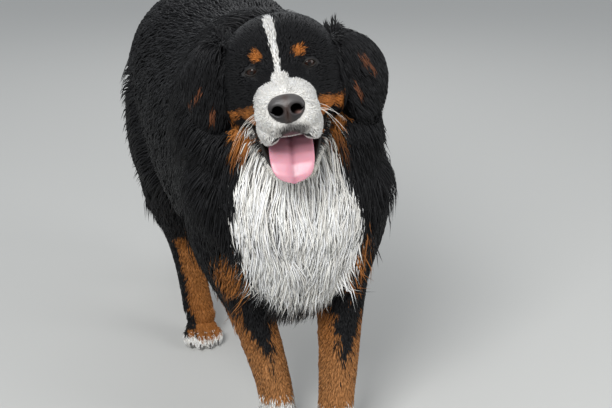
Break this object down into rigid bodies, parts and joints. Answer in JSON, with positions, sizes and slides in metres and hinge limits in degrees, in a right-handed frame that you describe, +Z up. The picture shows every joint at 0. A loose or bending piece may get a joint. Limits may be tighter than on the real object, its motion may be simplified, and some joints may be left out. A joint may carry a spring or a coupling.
{
  "type": "bernese mountain dog model",
  "caption": "Still life-size model of a standing Bernese mountain dog with long tricolour coat, drop ears, open mouth with tongue out and hanging tail.",
  "frame": {"origin": "on the floor, at the middle of the dog's bounding box", "axes": "+X towards the dog's own left, +Y from its nose to its tail, +Z up"},
  "size_m": [0.3977, 1.1751, 0.7461],
  "materials": {
    "coat_black": "long, slightly wavy black hair with a soft sheen",
    "coat_tan": "rich tan hair on cheeks, brows, chest sides and legs",
    "coat_white": "clean white hair on blaze, muzzle, throat, chest and feet",
    "nose_leather": "damp, finely pebbled black skin",
    "tongue": "wet pink flesh with a soft gloss",
    "eye": "dark brown, wet and glossy"
  },
  "bodies": {
    "root": {"ear_left": "coat_black", "ear_right": "coat_black", "eye_left": "eye", "eye_right": "eye", "foreleg_left": "coat_tan", "foreleg_right": "coat_tan", "forepaw_left": "coat_white", "forepaw_right": "coat_white", "head": "coat_black", "hindpaw_left": "coat_white", "hindpaw_right": "coat_white", "jaw": "coat_white", "neck": "coat_black", "nose": "nose_leather", "shank_left": "coat_tan", "shank_right": "coat_tan", "tail": "coat_black", "thigh_left": "coat_black", "thigh_right": "coat_black", "tongue": "tongue", "torso": "coat_black"}
  },
  "joints": []
}
